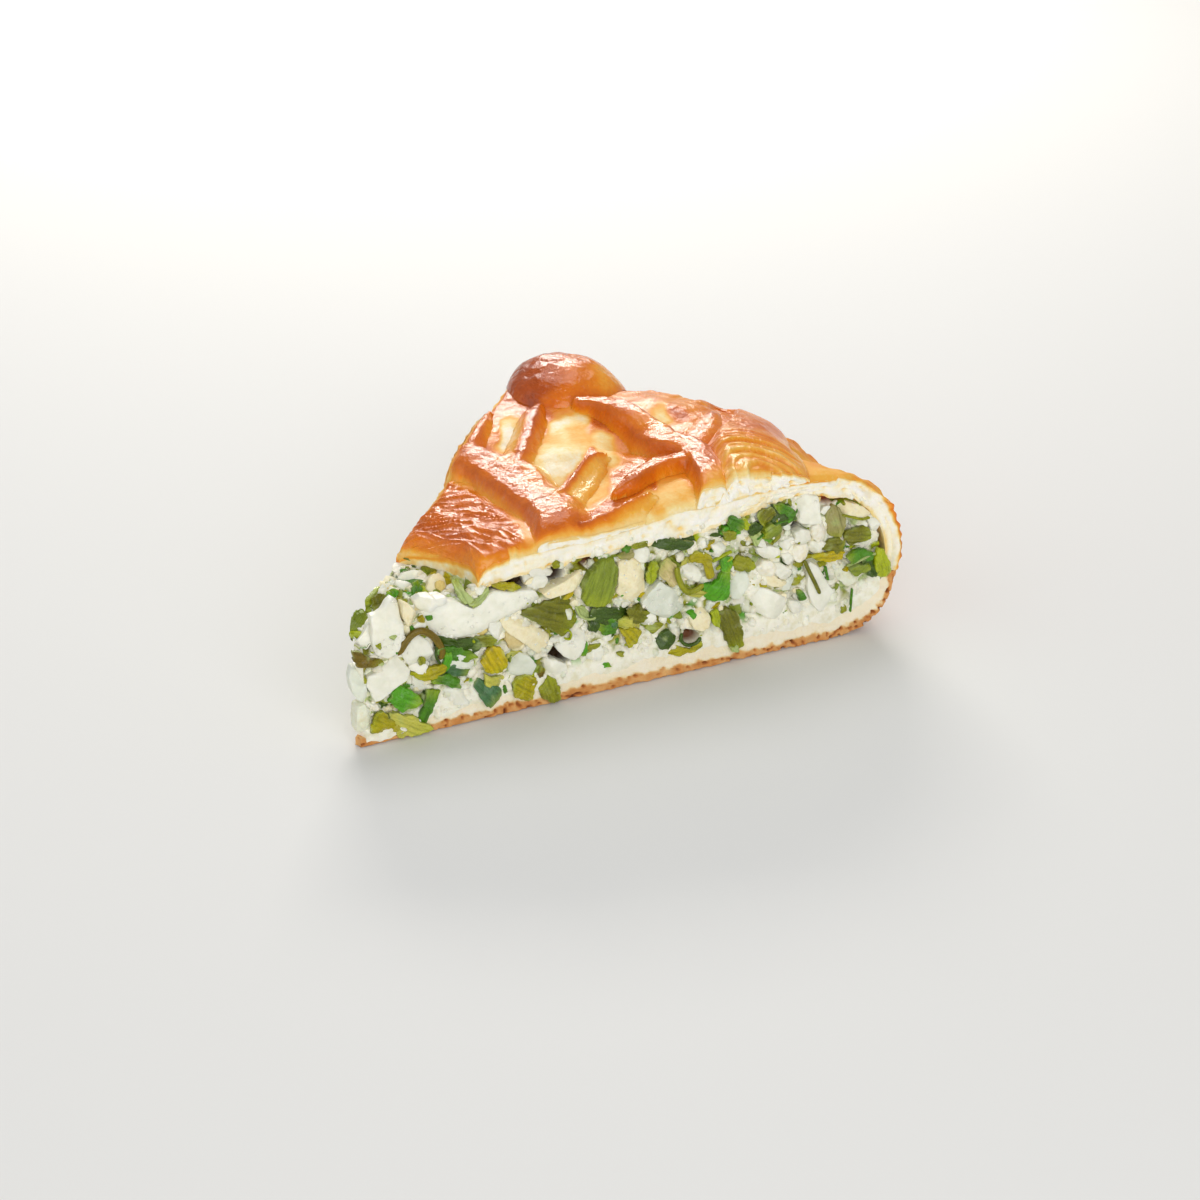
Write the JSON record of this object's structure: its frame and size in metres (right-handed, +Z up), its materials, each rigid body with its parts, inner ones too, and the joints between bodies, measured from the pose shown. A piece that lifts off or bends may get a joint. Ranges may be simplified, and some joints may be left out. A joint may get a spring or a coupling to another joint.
{
  "type": "green onion and egg pie slice",
  "caption": "Wedge of a round savoury pie with a glazed, slashed lid, a puffed rim and a chopped boiled egg and green onion filling that shows at both cuts.",
  "frame": {"origin": "middle of the slice's bounding box, on the surface that the slice rests on", "axes": "+Z up, +Y from the pointed tip towards the rounded rim, +X to the right cut"},
  "size_m": [0.118, 0.1465, 0.0528],
  "materials": {
    "base_dough": "soft pale baked dough with a browned, pitted underside",
    "baked_crust": "egg-washed baked dough, satin, golden to red-brown",
    "glazed_dough": "egg-washed dough bands, glossy, dark golden brown",
    "egg_and_onion": "moist chopped boiled egg and green onion",
    "egg_white": "moist boiled egg white",
    "egg_yolk": "crumbly boiled yolk",
    "onion_leaf": "cooked green onion leaf, wet sheen"
  },
  "bodies": {
    "root": {"bottom_crust": "base_dough", "filling": "egg_and_onion", "top_crust": "baked_crust", "band_near": "glazed_dough", "band_far": "glazed_dough", "rim_bun": "glazed_dough", "rim_fold": "glazed_dough"}
  },
  "joints": []
}
